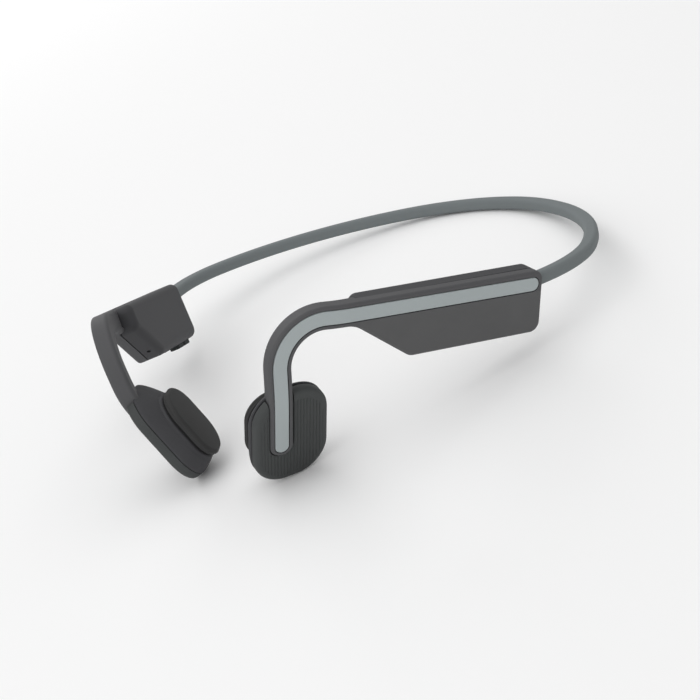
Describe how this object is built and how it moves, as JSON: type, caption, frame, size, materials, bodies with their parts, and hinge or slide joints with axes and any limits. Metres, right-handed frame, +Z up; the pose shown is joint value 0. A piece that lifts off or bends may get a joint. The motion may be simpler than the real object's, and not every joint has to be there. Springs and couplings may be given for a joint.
{
  "type": "bone conduction headphones",
  "caption": "Wireless open-ear headphones: a springy neckband joins two slim pods, whose ear hooks hold ribbed bone conduction transducers against the cheekbones.",
  "frame": {"origin": "on the table, below the middle of the headphones' box", "axes": "+X to the wearer's left, +Y backwards to the neckband, +Z up, as they stand on a table"},
  "size_m": [0.141, 0.1624, 0.0468],
  "materials": {
    "frame_plastic": "fine satin grain",
    "shell_coating": "soft-touch coating",
    "cap_plastic": "ribbed satin",
    "trim_plastic": "satin paint",
    "band_silicone": "soft matt silicone",
    "pad_silicone": "soft matt silicone",
    "seal_rubber": "matt",
    "button_rubber": "matt, ribbed",
    "titanium": "drawn wire",
    "cable_jacket": "smooth",
    "yoke_steel": "zinc plated",
    "magnet_nickel": "nickel plated",
    "coil_copper": "enamelled copper wire",
    "bobbin_plastic": "moulded",
    "board_laminate": "solder mask",
    "switch_plastic": "moulded",
    "port_steel": "drawn shell",
    "light_pipe": "translucent",
    "cell_foil": "foil pouch",
    "foam": "closed-cell foam"
  },
  "bodies": {
    "right_side": {"right_side_frame": "frame_plastic", "right_trim_strip": "trim_plastic", "right_pod_seal": "seal_rubber", "right_pod_shell": "shell_coating", "right_hook_wire": "titanium", "right_transducer_housing": "shell_coating", "right_pad_surround": "seal_rubber", "right_yoke": "yoke_steel", "right_magnet": "magnet_nickel", "right_pole_plate": "yoke_steel", "right_leaf_spring": "titanium", "right_neckband_sleeve": "band_silicone", "right_neckband_spring_wire": "titanium", "right_neckband_cable": "cable_jacket", "right_transducer_cap": "cap_plastic", "main_board": "board_laminate", "volume_switches": "switch_plastic", "charging_port": "port_steel", "microphone": "port_steel", "status_light": "light_pipe"},
    "left_side": {"left_side_frame": "frame_plastic", "left_trim_strip": "trim_plastic", "left_pod_seal": "seal_rubber", "left_pod_shell": "shell_coating", "left_hook_wire": "titanium", "left_transducer_housing": "shell_coating", "left_pad_surround": "seal_rubber", "left_yoke": "yoke_steel", "left_magnet": "magnet_nickel", "left_pole_plate": "yoke_steel", "left_leaf_spring": "titanium", "left_neckband_sleeve": "band_silicone", "left_neckband_spring_wire": "titanium", "left_neckband_cable": "cable_jacket", "battery": "cell_foil", "battery_foam": "foam", "multifunction_switch": "switch_plastic"},
    "multifunction_button": {"multifunction_button": "cap_plastic"},
    "left_vibrator": {"left_contact_pad": "pad_silicone", "left_voice_coil": "coil_copper", "left_coil_bobbin": "bobbin_plastic"},
    "right_vibrator": {"right_contact_pad": "pad_silicone", "right_voice_coil": "coil_copper", "right_coil_bobbin": "bobbin_plastic"},
    "volume_up_button": {"volume_up_button": "button_rubber"},
    "volume_down_button": {"volume_down_button": "button_rubber"},
    "port_flap": {"port_flap": "button_rubber"}
  },
  "joints": [
    {"name": "neckband_flex", "type": "hinge", "parent": "right_side", "child": "left_side", "pos_m": [0, 0.08104, 0.00154], "axis": [0, 0.199, 0.98], "range_deg": [0, 40], "stiffness_Nm_per_rad": 0.35},
    {"name": "multifunction_press", "type": "slide", "parent": "left_side", "child": "multifunction_button", "axis": [-0.7722, 0.5207, 0.364], "range_m": [0, 0.0004], "stiffness_N_per_m": 5000},
    {"name": "left_vibration", "type": "slide", "parent": "left_side", "child": "left_vibrator", "axis": [-0.7722, 0.5207, 0.364], "range_m": [-0.0001, 0.0001], "stiffness_N_per_m": 8000},
    {"name": "right_vibration", "type": "slide", "parent": "right_side", "child": "right_vibrator", "axis": [0.7722, 0.5207, 0.364], "range_m": [-0.0001, 0.0001], "stiffness_N_per_m": 8000},
    {"name": "volume_up_press", "type": "slide", "parent": "right_side", "child": "volume_up_button", "axis": [-0.2505, 0.2529, 0.9345], "range_m": [0, 0.0004], "stiffness_N_per_m": 4000},
    {"name": "volume_down_press", "type": "slide", "parent": "right_side", "child": "volume_down_button", "axis": [-0.2505, 0.2529, 0.9345], "range_m": [0, 0.0004], "stiffness_N_per_m": 4000},
    {"name": "port_flap_hinge", "type": "hinge", "parent": "right_side", "child": "port_flap", "pos_m": [-0.04352, -0.03864, 0.01942], "axis": [-0.8664, -0.4892, -0.0999], "range_deg": [0, 110], "stiffness_Nm_per_rad": 0.001}
  ]
}
